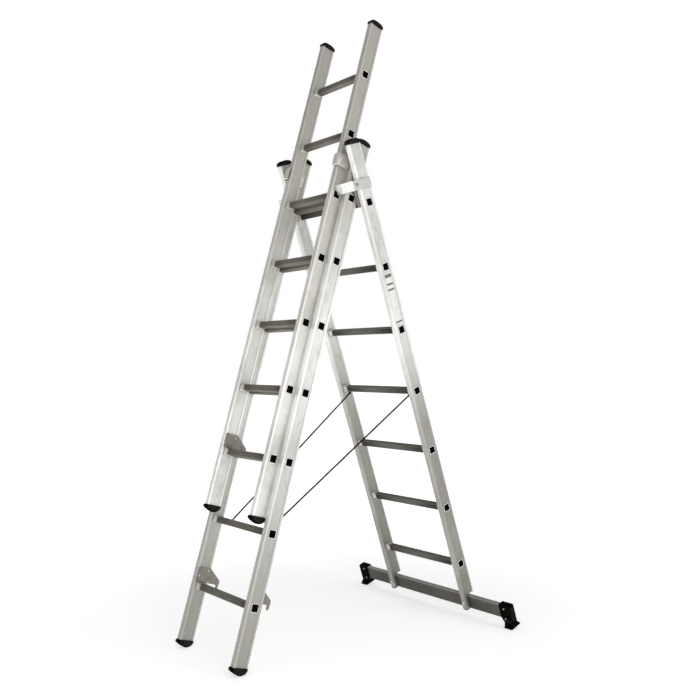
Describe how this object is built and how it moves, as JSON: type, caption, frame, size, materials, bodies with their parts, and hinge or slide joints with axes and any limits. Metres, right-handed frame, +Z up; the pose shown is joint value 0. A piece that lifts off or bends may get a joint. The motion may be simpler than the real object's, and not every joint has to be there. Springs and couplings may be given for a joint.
{
  "type": "combination extension ladder",
  "caption": "Three-section aluminium combination ladder standing as an A-frame on a stabiliser bar, with its narrow section extended above the hinge.",
  "frame": {"origin": "middle of the footprint, on the floor the ladder stands on", "axes": "+Z up, +X along the rungs, +Y towards the stabiliser bar"},
  "size_m": [1.014, 1.3024, 2.6555],
  "materials": {
    "stile": "mill finish extrusion",
    "rung": "ribbed mill finish",
    "bar": "mill finish",
    "steel": "zinc plated",
    "bracket": "pressed plate",
    "plastic": "moulded",
    "cord": "braided"
  },
  "bodies": {
    "front_section": {"front_foot_left": "plastic", "front_foot_right": "plastic", "front_guide_left": "bracket", "front_guide_right": "bracket", "front_hook_left": "steel", "front_hook_right": "steel", "front_rung_1": "rung", "front_rung_2": "rung", "front_rung_3": "rung", "front_rung_4": "rung", "front_rung_5": "rung", "front_rung_6": "rung", "front_rung_7": "rung", "front_stile_left": "stile", "front_stile_right": "stile", "front_top_cap_left": "plastic", "front_top_cap_right": "plastic", "pivot_lug_left": "steel", "pivot_lug_right": "steel", "pivot_pin_left": "steel", "pivot_pin_right": "steel", "restraint_cord_left": "cord", "restraint_cord_right": "cord"},
    "rear_section": {"hinge_backing_left": "steel", "hinge_backing_right": "steel", "hinge_strap_left": "bracket", "hinge_strap_right": "bracket", "rear_rung_1": "rung", "rear_rung_2": "rung", "rear_rung_3": "rung", "rear_rung_4": "rung", "rear_rung_5": "rung", "rear_rung_6": "rung", "rear_rung_7": "rung", "rear_stile_left": "stile", "rear_stile_right": "stile", "rear_top_cap_left": "plastic", "rear_top_cap_right": "plastic", "stabiliser_bar": "bar", "stabiliser_bolt_left": "steel", "stabiliser_bolt_right": "steel", "stabiliser_boot_left": "plastic", "stabiliser_boot_right": "plastic"},
    "upper_section": {"ext_foot_left": "plastic", "ext_foot_right": "plastic", "ext_hook_left": "steel", "ext_hook_right": "steel", "ext_rung_1": "rung", "ext_rung_2": "rung", "ext_rung_3": "rung", "ext_rung_4": "rung", "ext_rung_5": "rung", "ext_rung_6": "rung", "ext_rung_7": "rung", "ext_stile_left": "stile", "ext_stile_right": "stile", "ext_top_cap_left": "plastic", "ext_top_cap_right": "plastic"}
  },
  "joints": [
    {"name": "fold", "type": "hinge", "parent": "front_section", "child": "rear_section", "pos_m": [0, -0.02282, 1.86809], "axis": [-1, 0, 0], "range_deg": [0, 33.7], "deforming": ["restraint_cord_left", "restraint_cord_right"]},
    {"name": "third_section_slide", "type": "slide", "parent": "front_section", "child": "upper_section", "axis": [0, 0.2817, 0.9595], "range_m": [0, 0.19]}
  ]
}
